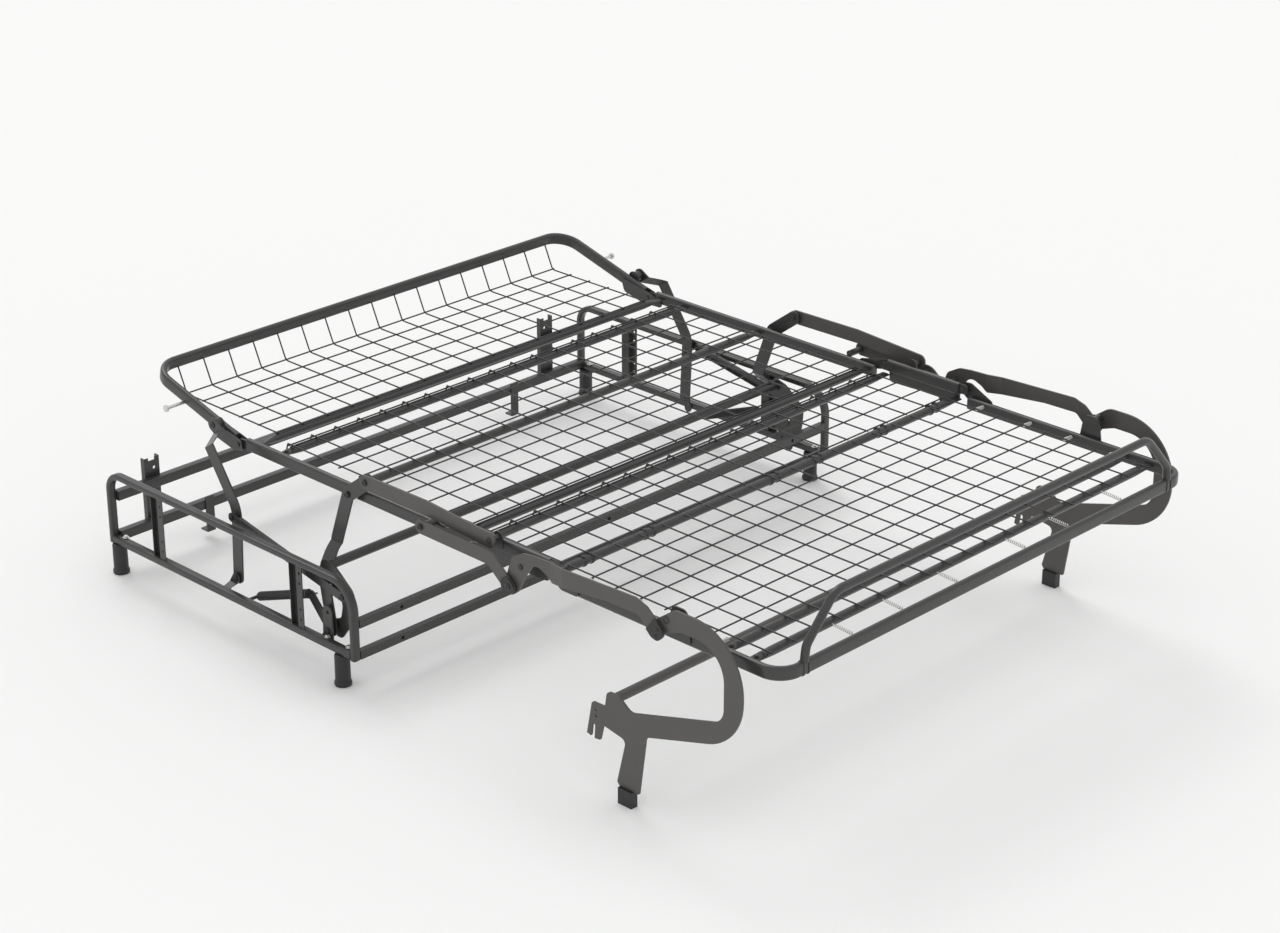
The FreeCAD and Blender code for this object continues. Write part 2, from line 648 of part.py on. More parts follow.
def knee_side():
    """Deep side of the knee section: a tube over a plate, with tabs for the straps and hinges."""
    tube = bed_side(-1352.0, KNEE_PIVOT[0] - 12)
    tube.translate(V(0, 0, 27.0))
    plate = side_plate([(-1138.0, 430.0, 4), (-1352.0, 440.0, 4), (-1350.0, 398.0, 10), (-1140.0, 392.0, 10)],
                       (662.0, 665.0))
    ear = strap([(KNEE_PIVOT[0], KNEE_PIVOT[1], 0), (-1160.0, 432.0, 0)], 20.0, (657.0, 661.0),
                [(KNEE_PIVOT[0], KNEE_PIVOT[1], HOLE_R)])
    strap_tab = strap([(UPPER_STRAP_END[0], UPPER_STRAP_END[1], 0), (-1206.0, 436.0, 0)], 24.0, (665.0, 669.0))
    strap_pin = pin(UPPER_STRAP_END, (666.0, UPPER_STRAP[0] - 1.5), 7.0)
    arm_pin = pin(ARM_PIVOT, (663.0, ARM_REAR[1] + 1.7))
    arm_spacer = pin(ARM_PIVOT, (663.0, ARM_REAR[0] - 0.4), 8.0)
    foot_pin = pin(FOOT_PIVOT, (657.0, 676.0))
    foot_ear = strap([(FOOT_PIVOT[0], FOOT_PIVOT[1], 0), (-1330.0, 434.0, 0)], 24.0, (657.0, 661.0))
    return fused([tube, plate, ear, strap_tab, strap_pin, arm_pin, arm_spacer, foot_ear, foot_pin])


def knee_cross_tubes():
    return [cross_bar(y, CROSS_Z, 662.0, CROSS_R) for y in (-1128.0, -1346.0)]


def knee_mesh():
    rows = [-1336.0 + i * MESH_PITCH for i in range(3)] + [-1120.0]
    return lattice(mesh_columns(), rows, MESH_Z)


# The foot section

def foot_tube():
    """U of oval tube round the foot section."""
    y_start = FOOT_PIVOT[0] - 16
    y_end = FOOT_END_Y + TUBE_W / 2
    points = [V(BED_X, y_start, BED_Z), V(BED_X, y_end, BED_Z), V(-BED_X, y_end, BED_Z), V(-BED_X, y_start, BED_Z)]
    section = oval_wire(points[0], V(1, 0, 0), V(0, 0, 1))
    return swept(points, [0, FOOT_CORNER_R, FOOT_CORNER_R, 0], section)


def foot_hinge_plate():
    corners = [(-1350.0, 450.0, 12), (-1378.0, 452.0, 12), (-1440.0, 422.0, 6), (-1440.0, 396.0, 6),
               (-1392.0, 396.0, 10), (-1352.0, 424.0, 12)]
    holes = [(FOOT_PIVOT[0], FOOT_PIVOT[1], HOLE_R)]
    plate = side_plate(corners, (668.2, 671.7), holes)
    return fused([plate, block((BED_X + TUBE_W / 2, 669.0), (-1436.0, -1396.0), (400.0, 414.0))])


def leg_bracket():
    """Plate on the side of the foot tube with the stub that the curved leg turns on."""
    corners = [(-1700.0, 470.0, 14), (-1740.0, 470.0, 14), (-1752.0, 398.0, 6), (-1688.0, 398.0, 6)]
    plate = side_plate(corners, (667.5, 671.0))
    stub = pin(LEG_PIVOT, (669.0, OUTER_STRAP[1] + 0.8))
    spacer = pin(LEG_PIVOT, (669.0, OUTER_STRAP[0] - 0.4), 9.0)
    return fused([plate, stub, spacer])


def foot_cross_tubes():
    return [cross_bar(y, CROSS_Z, BED_X - TUBE_W / 2, CROSS_R) for y in (-1825.0, -1890.0)]


def foot_mesh():
    rows = [-1361.6 - i * MESH_PITCH for i in range(8, -1, -1)]
    return lattice(mesh_columns(), rows, MESH_Z)


def edge_spring(start, direction, length):
    """One short spring, as an eight-sided bar."""
    corners = [i * math.pi / 4 for i in range(9)]
    across = V(0, 0, 1).cross(direction)
    ring = [start + across * (4.0 * math.cos(a)) + V(0, 0, 4.0 * math.sin(a)) for a in corners]
    return Part.Face(Part.makePolygon(ring[:-1] + ring[:1])).extrude(direction * length)


def edge_springs():
    """Short springs that stretch the foot mesh inside its tube."""
    inner = BED_X - TUBE_W / 2
    edge = MESH_HALF_COUNT * MESH_PITCH + WIRE / 2
    springs = []
    for y in (-1431.0, -1568.0, -1682.0, -1806.0):
        side = edge_spring(V(edge, y, MESH_Z - 4), V(1, 0, 0), inner - edge)
        springs += both(side)
    front = FOOT_END_Y + TUBE_W
    last_row = -1361.6 - 8 * MESH_PITCH - WIRE / 2
    for x in (-436.0, -284.0, -112.0, 112.0, 259.0, 447.0):
        springs.append(edge_spring(V(x, front, MESH_Z - 4), V(0, 1, 0), last_row - front))
    return springs


def retainer_hoop():
    """Low hoop at the foot end that keeps the mattress from sliding off."""
    y = FOOT_END_Y + TUBE_W / 2
    top = 539.0
    points = [V(-595, y, 412), V(-590, y, 452), V(-510, y, top), V(510, y, top), V(590, y, 452), V(595, y, 412)]
    section = Part.Wire([Part.makeCircle(RETAINER_R, points[0], V(0, 0, 1))])
    return swept(points, [0, 30, 50, 50, 30, 0], section).cut(foot_tube())


# The arms and the curved legs

def long_arm():
    """Flat bar with a hooked rear end and a bent-down front end."""
    corners = [
        (-1278.0, 355.0, 14), (-1256.0, 372.0, 16), (-1282.0, 445.0, 18), (-1316.0, 464.0, 26),
        (-1350.0, 468.0, 40), (-1640.0, 480.0, 24), (-1672.0, 470.0, 14), (-1724.0, 428.0, 14),
        (-1704.0, 406.0, 14), (-1686.0, 411.0, 8), (-1649.0, 446.0, 14), (-1560.0, 444.0, 20), (-1400.0, 426.0, 6),
        (-1384.0, 438.0, 12), (-1350.0, 452.0, 24), (-1326.0, 420.0, 20), (-1300.0, 372.0, 10),
    ]
    holes = [(ARM_PIVOT[0], ARM_PIVOT[1], HOLE_R)]
    ahead = (ARM_PIVOT[0] - 100, ARM_PIVOT[1])
    stations = [(-100, ARM_REAR[0]), (88, ARM_REAR[0]), (128, ARM[0]), (500, ARM[0])]
    return joggled(corners, ARM_PIVOT, ahead, stations, ARM[1] - ARM[0], holes)


def arm_end_cap():
    """Plastic cheek on the bent-down end of the arm, over the rivets of the leg's pivot."""
    corners = [(-1672.0, 424.0, 2), (-1695.0, 455.0, 2), (-1724.0, 428.0, 14), (-1704.0, 406.0, 14),
               (-1686.0, 411.0, 8)]
    return side_plate(corners, (ARM[1], ARM[1] + 3.0))


def curved_leg():
    """Sickle-shaped plate that is the foot of the open bed, with a forked end."""
    corners = [
        (-1645.0, 37.0, 3), (-1664.8, 176.4, 16), (-1921.0, 253.8, 123), (-1921.0, 485.0, 130),
        (-1741.0, 485.0, 40), (-1696.0, 452.0, 10), (-1672.0, 416.0, 12), (-1692.0, 398.0, 12),
        (-1716.0, 427.0, 16), (-1760.0, 443.0, 30), (-1873.0, 443.0, 72), (-1873.0, 288.5, 38),
        (-1622.0, 214.5, 24), (-1588.0, 240.0, 12), (-1556.0, 240.0, 12), (-1550.0, 202.0, 8),
        (-1513.0, 201.0, 6), (-1498.0, 124.0, 2), (-1510.0, 121.0, 1), (-1514.0, 152.0, 3),
        (-1522.0, 151.0, 3), (-1520.0, 119.0, 1), (-1536.0, 121.0, 2), (-1545.0, 158.0, 6),
        (-1609.0, 147.0, 12), (-1584.0, 45.0, 2), (-1590.0, 37.0, 2),
    ]
    holes = [(LEG_PIVOT[0], LEG_PIVOT[1], HOLE_R), (-1525.5, 187.0, 3.5), (-1525.5, 172.0, 3.5)]
    return side_plate(corners, OUTER_STRAP, holes)


def leg_crossbar():
    """Round tube that joins the two curved legs."""
    return cross_bar(-1570.0, 224.0, OUTER_STRAP[0], 11.0)


def leg_pad():
    return block((695.0, 713.0), (-1630.0, -1592.0), (0.0, 37.0))


def main():
    export("side_hoops", both(side_hoop()))
    export("bottom_rails", both(bottom_rail()))
    uprights = []
    for y in UPRIGHT_YS:
        uprights += both(perforated_upright(y))
    export("perforated_uprights", uprights)
    export("rear_cross_rails", cross_rails(REAR_RAIL_ZS, REAR_RAIL_Y, (), 0))
    export("front_cross_rails", cross_rails(FRONT_RAIL_ZS, FRONT_RAIL_Y, FRONT_RAIL_HOLE_XS, 4.5))
    export("back_brackets", both(back_bracket()))
    export("floor_brackets", both(floor_bracket()))
    feet = []
    for y in FOOT_YS:
        feet += both(foot(y))
    export("feet", feet)
    rear, front, anchor = base_brackets()
    export("rear_pivot_brackets", both(rear))
    export("front_pivot_brackets", both(front))
    export("spring_anchors", both(anchor))
    export("front_links", both(front_link()))
    export("curved_plates", both(curved_plate()))
    export("spring_levers", both(spring_lever()))
    export("torsion_tube", [torsion_tube()])
    export("tension_springs", both(tension_spring()))
    export("rear_links", both(rear_link()))
    export("braces", both(brace()))
    export("seat_side_rails", both(seat_side_rail()))
    export("seat_cross_tubes", seat_cross_tubes())
    export("seat_mesh", [seat_mesh()])
    export("head_tube", [head_tube()])
    hinge = head_hinge_plate()
    export("head_hinge_plates", both(hinge[0]) + both(hinge[1]))
    export("head_cross_tube", [head_cross_tube()])
    export("head_basket", [head_basket()])
    export("head_studs", both(head_stud()))
    export("upper_straps", both(upper_strap()))
    export("lower_straps", both(lower_strap()))
    outer, inner = strap_cap()
    export("strap_end_caps", both(outer) + both(inner))
    export("knee_sides", both(knee_side()))
    export("knee_cross_tubes", knee_cross_tubes())
    export("knee_mesh", [knee_mesh()])
    export("foot_tube", [foot_tube()])
    export("foot_hinge_plates", both(foot_hinge_plate()))
    export("leg_brackets", both(leg_bracket()))
    export("foot_cross_tubes", foot_cross_tubes())
    export("foot_mesh", [foot_mesh()])
    export("edge_springs", edge_springs())
    export("retainer_hoop", [retainer_hoop()])
    export("long_arms", both(long_arm()))
    export("arm_end_caps", both(arm_end_cap()))
    export("curved_legs", both(curved_leg()))
    export("leg_crossbar", [leg_crossbar()])
    export("leg_pads", both(leg_pad()))


main()
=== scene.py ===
"""Looks of the sofa bed mechanism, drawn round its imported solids.

Lengths are in millimetres, measured as in the part: Y = 0 at the rear feet, +Z up, X across.
place() turns them into the frame's metres. Round tubes, welded wires, coil springs and rivet heads
are drawn here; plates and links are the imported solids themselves.
"""
import json
import math

import bpy
import numpy as np
from mathutils import Matrix


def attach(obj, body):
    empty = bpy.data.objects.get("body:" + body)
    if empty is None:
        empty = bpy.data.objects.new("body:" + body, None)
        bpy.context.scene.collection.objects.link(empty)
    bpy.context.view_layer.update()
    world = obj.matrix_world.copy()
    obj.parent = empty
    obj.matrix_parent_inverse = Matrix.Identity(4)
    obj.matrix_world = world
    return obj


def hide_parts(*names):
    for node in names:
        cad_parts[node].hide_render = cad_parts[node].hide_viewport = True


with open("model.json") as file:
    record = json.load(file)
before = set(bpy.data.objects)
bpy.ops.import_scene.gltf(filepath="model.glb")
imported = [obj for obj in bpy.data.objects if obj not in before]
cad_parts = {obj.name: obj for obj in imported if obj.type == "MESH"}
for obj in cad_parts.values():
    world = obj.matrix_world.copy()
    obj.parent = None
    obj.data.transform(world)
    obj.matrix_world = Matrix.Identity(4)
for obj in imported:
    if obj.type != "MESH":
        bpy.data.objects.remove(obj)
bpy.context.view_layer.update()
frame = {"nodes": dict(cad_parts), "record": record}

# Driving dimensions
SHIFT = 975.25
SEGMENTS = 10
SHARP_ANGLE = 35.0
BED_X = 660.0
BED_Z = 407.0
TUBE = (15.0, 30.0)
FOOT_START_Y = -1381.0
FOOT_END_Y = -1977.5
HEAD_PIVOT = (-348.5, 401.7)
HEAD_TILT = math.radians(15.4)
HEAD_LENGTH = 332.0
MESH_Z = 420.0
WIRE_R = 1.5
WIRE_DRAWN = 1.85
PITCH = 68.4
COLUMNS = [i * PITCH for i in range(-9, 10)]
CROSS_R = 10.0
CROSS_Z = MESH_Z - WIRE_R - CROSS_R
HOOP_X = 770.0
HOOP_TOP = 252.5
BASE_REAR_Y = 17.5
BASE_FRONT_Y = -850.5


# Surfaces

def place(points):
    """Millimetres from the rear feet to the frame's metres."""
    points = np.asarray(points, float).reshape(-1, 3).copy()
    points[:, 1] += SHIFT
    return points / 1000.0


def build(name, parts, material, body, node=None):
    """One mesh object from several (vertices, faces) pairs, riding on a body of the frame."""
    vertices = []
    faces = []
    start = 0
    for part_vertices, part_faces in parts:
        vertices.append(place(part_vertices))
        faces += [tuple(int(i) + start for i in face) for face in part_faces]
        start += len(vertices[-1])
    mesh = bpy.data.meshes.new(name)
    mesh.from_pydata(np.concatenate(vertices).tolist(), [], faces)
    mesh.validate()
    mesh.materials.append(material)
    thing = bpy.data.objects.new(name, mesh)
    bpy.context.scene.collection.objects.link(thing)
    mesh.polygons.foreach_set("use_smooth", [True] * len(mesh.polygons))
    mesh.set_sharp_from_angle(angle=math.radians(SHARP_ANGLE))
    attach(thing, body)
    if node:
        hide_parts(node)
    return thing


def mirror(part):
    """The same surface on the other side of X = 0."""
    vertices, faces = part
    turned = np.asarray(vertices, float) * [-1, 1, 1]
    return turned, [tuple(face)[::-1] for face in faces]


def both(parts):
    return list(parts) + [mirror(part) for part in parts]


def grid_faces(rows, columns):
    """Quads between the rings of a sweep; each ring is closed."""
    faces = []
    for i in range(rows - 1):
        for j in range(columns):
            k = (j + 1) % columns
            row, above = i * columns, (i + 1) * columns
            faces.append((row + j, row + k, above + k, above + j))
    return faces


def sweep(path, section, normal):
    """Section (a, b) carried along a path: a runs across it in the bend's plane, b along normal."""
    path = np.asarray(path, float)
    section = np.asarray(section, float)
    normal = np.asarray(normal, float) / np.linalg.norm(normal)
    ahead = np.gradient(path, axis=0)
    ahead /= np.linalg.norm(ahead, axis=1)[:, None]
    across = np.cross(ahead, normal)
    across /= np.linalg.norm(across, axis=1)[:, None]
    upward = np.cross(across, ahead)
    rings = (path[:, None, :] + section[None, :, 0, None] * across[:, None, :]
             + section[None, :, 1, None] * upward[:, None, :])
    count = len(section)
    faces = grid_faces(len(path), count)
    faces.append(tuple(range(count))[::-1])
    faces.append(tuple((len(path) - 1) * count + i for i in range(count)))
    return rings.reshape(-1, 3), faces


def rounded(points, radii, steps=SEGMENTS):
    """Path through the points with an arc of the given radius at each inner corner."""
    points = [np.asarray(p, float) for p in points]
    path = [points[0]]
    for i in range(1, len(points) - 1):
        before = points[i - 1] - points[i]
        after = points[i + 1] - points[i]
        before /= np.linalg.norm(before)
        after /= np.linalg.norm(after)
        half = math.acos(np.clip(before @ after, -1, 1)) / 2
        middle = (before + after) / np.linalg.norm(before + after)
        centre = points[i] + middle * (radii[i] / math.sin(half))
        start = points[i] + before * (radii[i] / math.tan(half)) - centre
        end = points[i] + after * (radii[i] / math.tan(half)) - centre
        angle = math.pi - 2 * half
        for t in np.linspace(0, 1, steps):
            weight = math.sin((1 - t) * angle), math.sin(t * angle)
            path.append(centre + (start * weight[0] + end * weight[1]) / math.sin(angle))
    path.append(points[-1])
    return np.array(path)


def circle(radius, count=16):
    turns = np.arange(count) * 2 * math.pi / count
    return np.stack([radius * np.cos(turns), radius * np.sin(turns)], 1)


def soft_box(width, height, radius, steps=5):
    """Rectangle with round corners, as a section."""
    points = []
    for a, b, start in ((1, 1, 0), (-1, 1, 90), (-1, -1, 180), (1, -1, 270)):
        for t in np.radians(np.linspace(start, start + 90, steps)):
            points.append((a * (width / 2 - radius) + radius * math.cos(t),
                           b * (height / 2 - radius) + radius * math.sin(t)))
    return np.array(points)


def straight(start, end, section, normal):
    return sweep([start, (np.asarray(start, float) + end) / 2, end], section, normal)


def turned(centre, axis, profile, count=18):
    """Surface of revolution: profile (distance along axis, radius) turned about the axis."""
    axis = np.asarray(axis, float)
    side = np.cross(axis, (0, 0, 1)) if abs(axis[2]) < 0.9 else np.array([1.0, 0, 0])
    side /= np.linalg.norm(side)
    other = np.cross(axis, side)
    turns = np.arange(count) * 2 * math.pi / count
    ring = side[None] * np.cos(turns)[:, None] + other[None] * np.sin(turns)[:, None]
    rows = [np.asarray(centre, float) + axis * s + ring * r for s, r in profile]
    faces = grid_faces(len(profile), count)
    faces.append(tuple(range(count))[::-1])
    faces.append(tuple((len(profile) - 1) * count + i for i in range(count)))
    return np.concatenate(rows), faces


def rivet(x, y, z, radius=7.5, rise=2.6):
    """Riveted pin end on the outer face of a strap: a low dome with a dimple in its middle."""
    profile = [(0, radius), (rise * 0.4, radius), (rise * 0.9, radius * 0.8), (rise, radius * 0.62),
               (rise, radius * 0.42), (rise * 0.45, radius * 0.34), (rise * 0.4, 0.4)]
    return turned((x, y, z), (1, 0, 0), profile)


def bolt(centre, axis, radius=6.5, depth=4.5):
    """Hexagon head on a round washer."""
    washer = turned(centre, axis, [(0, radius * 1.45), (1.4, radius * 1.45), (1.5, 0.5)])
    lifted = np.asarray(centre, float) + np.asarray(axis, float) * 1.4
    head = turned(lifted, axis, [(0, radius), (depth - 0.8, radius), (depth, radius * 0.84)], 6)
    return [washer, head]


def coil(start, end, radius, wire, turns, hooks=True):
    """Helix between two points: the angle grows evenly along the axis; each end runs in to the axis."""
    start = np.asarray(start, float)
    end = np.asarray(end, float)
    axis = end - start
    length = np.linalg.norm(axis)
    axis /= length
    side = np.cross(axis, (0, 0, 1))
    side /= np.linalg.norm(side)
    other = np.cross(axis, side)
    t = np.linspace(0, 1, int(turns * 12) + 1)
    angle = t * turns * 2 * math.pi
    reach = 0.13 if hooks else 0.0
    along = reach + t * (1 - 2 * reach)
    path = (start + axis * (along * length)[:, None]
            + radius * (side * np.cos(angle)[:, None] + other * np.sin(angle)[:, None]))
    if hooks:
        path = np.concatenate([[start], [start + axis * reach * length * 0.8], path,
                               [end - axis * reach * length * 0.8], [end]])
    return sweep(path, circle(wire, 6), axis * 0.9 + side * 0.3 + other * 0.2)


def wire(points, radii=None, radius=WIRE_DRAWN, normal=(0, 0, 1), sides=7):
    path = rounded(points, radii) if radii else np.asarray(points, float)
    if len(path) == 2:
        path = np.array([path[0], (path[0] + path[1]) / 2, path[1]])
    return sweep(path, circle(radius, sides), normal)


# Materials

def mix(nodes, links, kind, factor, a, b):
    node = nodes.new("ShaderNodeMix")
    node.data_type = kind
    low, high = (6, 7) if kind == "RGBA" else (2, 3)
    links.new(factor, node.inputs[0])
    node.inputs[low].default_value = a
    node.inputs[high].default_value = b
    return node.outputs[2 if kind == "RGBA" else 0]


def coat(name, colour, dusty, rough, grain=0.25, metallic=0.0):
    """Painted or plated metal: fine orange-peel bumps, a soft change of tone and rounded edges."""
    material = bpy.data.materials.new(name)
    material.use_nodes = True
    nodes, links = material.node_tree.nodes, material.node_tree.links
    shader = nodes["Principled BSDF"]
    where = nodes.new("ShaderNodeTexCoord")
    cloud = nodes.new("ShaderNodeTexNoise")
    cloud.inputs["Scale"].default_value = 9.0
    cloud.inputs["Detail"].default_value = 4.0
    peel = nodes.new("ShaderNodeTexNoise")
    peel.inputs["Scale"].default_value = 900.0
    for texture in (cloud, peel):
        links.new(where.outputs["Object"], texture.inputs["Vector"])
    tone = mix(nodes, links, "RGBA", cloud.outputs["Fac"], (*colour, 1), (*dusty, 1))
    links.new(tone, shader.inputs["Base Color"])
    roughness = mix(nodes, links, "FLOAT", peel.outputs["Fac"], rough - 0.06, rough + 0.08)
    links.new(roughness, shader.inputs["Roughness"])
    shader.inputs["Metallic"].default_value = metallic
    edge = nodes.new("ShaderNodeBevel")
    edge.inputs["Radius"].default_value = 0.0009
    edge.samples = 6
    bump = nodes.new("ShaderNodeBump")
    bump.inputs["Strength"].default_value = grain
    bump.inputs["Distance"].default_value = 0.0002
    links.new(peel.outputs["Fac"], bump.inputs["Height"])
    links.new(edge.outputs["Normal"], bump.inputs["Normal"])
    links.new(bump.outputs["Normal"], shader.inputs["Normal"])
    return material


FRAME_COAT = coat("frame_coat", (0.034, 0.0325, 0.032), (0.046, 0.044, 0.043), 0.28)
LEG_COAT = coat("leg_coat", (0.066, 0.061, 0.058), (0.078, 0.073, 0.070), 0.36)
WIRE_COAT = coat("wire_coat", (0.012, 0.012, 0.012), (0.018, 0.0175, 0.017), 0.34, 0.1)
BLACK_PLASTIC = coat("black_plastic", (0.012, 0.012, 0.012), (0.020, 0.020, 0.020), 0.45, 0.5)
ZINC = coat("zinc_plate", (0.58, 0.58, 0.56), (0.70, 0.70, 0.68), 0.28, 0.1, 1.0)
SPRING_BLACK = coat("spring_black", (0.016, 0.016, 0.016), (0.026, 0.025, 0.025), 0.34, 0.1)

SLOT_MATERIALS = {
    "frame_coating": FRAME_COAT,
    "leg_coating": LEG_COAT,
    "mesh_wire": WIRE_COAT,
    "black_plastic": BLACK_PLASTIC,
    "zinc": ZINC,
    "black_spring": SPRING_BLACK,
}
for entry in frame["record"]["subparts"]:
    solid = frame["nodes"][entry["node"]]
    solid.data.materials.clear()
    solid.data.materials.append(SLOT_MATERIALS[entry["material_slot"]])


# The base

def base_tubes():
    """Side hoops, bottom rails and cross rails, all with rounded edges."""
    section = soft_box(15, 20, 4.5)
    hoop_path = rounded([(HOOP_X, BASE_REAR_Y, 76), (HOOP_X, BASE_REAR_Y, HOOP_TOP),
                         (HOOP_X, BASE_FRONT_Y, HOOP_TOP), (HOOP_X, BASE_FRONT_Y, 76)],
                        [0, 42.5, 64.5, 0], 14)
    build("hoops", both([sweep(hoop_path, section, (1, 0, 0))]), FRAME_COAT, "base",
          "side_hoops")
    flat = soft_box(18, 20, 4.0)
    rail = straight((HOOP_X, -843, 85), (HOOP_X, 10, 85), flat, (1, 0, 0))
    build("low_rails", both([rail]), FRAME_COAT, "base", "bottom_rails")
    rear = [straight((-760, 11, (z[0] + z[1]) / 2), (760, 11, (z[0] + z[1]) / 2),
                     soft_box(22, z[1] - z[0], 3.5), (0, 0, 1)) for z in ((78, 102), (180, 204))]
    build("rear_rails", rear, FRAME_COAT, "base", "rear_cross_rails")


def foot_parts():
    """Turned plastic feet: a flared sole under a plain stem with a soft upper edge."""
    parts = []
    for y in (0.0, -805.0):
        profile = [(0, 17.0), (1.2, 19.2), (3.0, 19.75), (9.0, 19.75), (10.6, 18.8), (11.5, 17.6),
                   (60, 17.4), (72, 17.4), (75, 16.2), (76, 14)]
        parts.append(turned((HOOP_X, y, 0), (0, 0, 1), profile, 28))
    build("turned_feet", both(parts), BLACK_PLASTIC, "base", "feet")


def base_fixings():
    """Zinc bolts of the base and the rivets of its pivots."""
    bolts = []
    for y in (-21, -751, -823):
        bolts += bolt((765, y, 95), (0, 0, 1), 5.5, 4.0)
    build("base_bolts", both(bolts), ZINC, "base")
    rivets = [rivet(758.0, -742, 104, 7.0, 1.8), rivet(744.0, -404, 113, 7.0)]
    build("base_rivets", both(rivets), SPRING_BLACK, "base")


# The bed frame

def head_point(along, up, x=0.0):
    """Point on the tilted head frame, from its hinge along the side tube."""
    return (x, HEAD_PIVOT[0] + along * math.cos(HEAD_TILT) - up * math.sin(HEAD_TILT),
            HEAD_PIVOT[1] + along * math.sin(HEAD_TILT) + up * math.cos(HEAD_TILT))


def bed_tubes():
    """U tubes of the foot and head sections and the retainer hoop."""
    section = soft_box(TUBE[0], TUBE[1], 6.5, 6)
    foot_path = rounded([(BED_X, FOOT_START_Y, BED_Z), (BED_X, FOOT_END_Y, BED_Z),
                         (-BED_X, FOOT_END_Y, BED_Z), (-BED_X, FOOT_START_Y, BED_Z)],
                        [0, 48, 48, 0], 14)
    build("foot_u", [sweep(foot_path, section, (0, 0, 1))], FRAME_COAT, "foot_section",
          "foot_tube")
    corners = [head_point(16, 2, BED_X), head_point(HEAD_LENGTH, 2, BED_X),
               head_point(HEAD_LENGTH, 2, -BED_X), head_point(16, 2, -BED_X)]
    upward = (0, -math.sin(HEAD_TILT), math.cos(HEAD_TILT))
    build("head_u", [sweep(rounded(corners, [0, 60, 60, 0], 14), section, upward)], FRAME_COAT,
          "head", "head_tube")
    hoop = rounded([(-595, FOOT_END_Y, 418), (-590, FOOT_END_Y, 452), (-510, FOOT_END_Y, 538.9),
                    (510, FOOT_END_Y, 538.9), (590, FOOT_END_Y, 452), (595, FOOT_END_Y, 418)],
                   [0, 30, 50, 50, 30, 0])
    build("hoop", [sweep(hoop, circle(9.0, 20), (0, 1, 0))], FRAME_COAT, "foot_section",
          "retainer_hoop")


def cross_tube(y, half):
    """Round cross tube; near its ends the section flattens smoothly to a tongue."""
    stations = [-half, -half + 16, -half + 42, -half + 60, 0, half - 60, half - 42, half - 16, half]
    flat = [1, 1, 0.25, 0, 0, 0, 0.25, 1, 1]
    rings = []
    count = 18
    base = circle(1.0, count)
    for x, share in zip(stations, flat):
        width = CROSS_R * (1 + 0.25 * share)
        height = CROSS_R * (1 - 0.72 * share)
        rings.append(np.stack([np.full(count, x), y + base[:, 0] * width,
                               CROSS_Z + base[:, 1] * height], 1))
    faces = grid_faces(len(stations), count)
    faces.append(tuple(range(count))[::-1])
    faces.append(tuple((len(stations) - 1) * count + i for i in range(count)))
    return np.concatenate(rings), faces


def cross_tubes():
    inner = BED_X - TUBE[0] / 2
    build("seat_bars", [cross_tube(y, inner) for y in (-475.0, -726.0, -1074.0)], FRAME_COAT, "seat",
          "seat_cross_tubes")
    build("knee_bars", [cross_tube(y, 662.0) for y in (-1128.0, -1346.0)], FRAME_COAT, "knee",
          "knee_cross_tubes")
    build("foot_bars", [cross_tube(y, inner) for y in (-1825.0, -1890.0)], FRAME_COAT, "foot_section",
          "foot_cross_tubes")
    build("head_bar", [cross_tube(-392.0, inner - 3)], FRAME_COAT, "head",
          "head_cross_tube")
    bolts = []
    for y in (-475.0, -726.0, -1074.0):
        bolts += bolt((634.0, y, CROSS_Z + 3.0), (0, 0, 1), 4.5, 3.0)
    build("seat_bar_bolts", both(bolts), FRAME_COAT, "seat")
    bolts = []
    for y in (-1825.0, -1890.0):
        bolts += bolt((634.0, y, CROSS_Z + 3.0), (0, 0, 1), 4.5, 3.0)
    build("foot_bar_bolts", both(bolts), FRAME_COAT, "foot_section")


# The wire mesh

def hook(x, y, towards):
    """Tail of a lengthwise wire, bent down round a cross tube."""
    step = 1 if towards > 0 else -1
    return wire([(x, y, MESH_Z), (x, y + step * 8, MESH_Z - 1), (x, y + step * 12, MESH_Z - 14)],
                [0, 5, 0], normal=(1, 0, 0))


def mesh(rows, z=MESH_Z, overhang=7.0):
    """Crosswise wires with the lengthwise wires welded on top of them."""
    low, high = min(rows), max(rows)
    parts = [wire([(COLUMNS[0] - overhang, y, z - 0.9), (COLUMNS[-1] + overhang, y, z - 0.9)])
             for y in rows]
    parts += [wire([(x, low - overhang, z + 0.9), (x, high + overhang, z + 0.9)]) for x in COLUMNS]
    return parts


def wire_meshes():
    seat_rows = [-1065.0] + [-983.6 + i * PITCH for i in range(8)] + [-466.0]
    parts = mesh(seat_rows)
    parts += [wire([(COLUMNS[0] - 7, y, MESH_Z - 0.9), (COLUMNS[-1] + 7, y, MESH_Z - 0.9)])
              for y in (-1074.5, -475.5)]
    build("seat_wires", parts, WIRE_COAT, "seat", "seat_mesh")
    knee_rows = [-1336.0 + i * PITCH for i in range(3)] + [-1120.0]
    parts = mesh(knee_rows)
    parts.append(wire([(COLUMNS[0] - 7, -1129.0, MESH_Z - 0.9),
                       (COLUMNS[-1] + 7, -1129.0, MESH_Z - 0.9)]))
    build("knee_wires", parts, WIRE_COAT, "knee", "knee_mesh")
    foot_rows = [-1361.6 - i * PITCH for i in range(9)]
    build("foot_wires", mesh(foot_rows), WIRE_COAT, "foot_section", "foot_mesh")


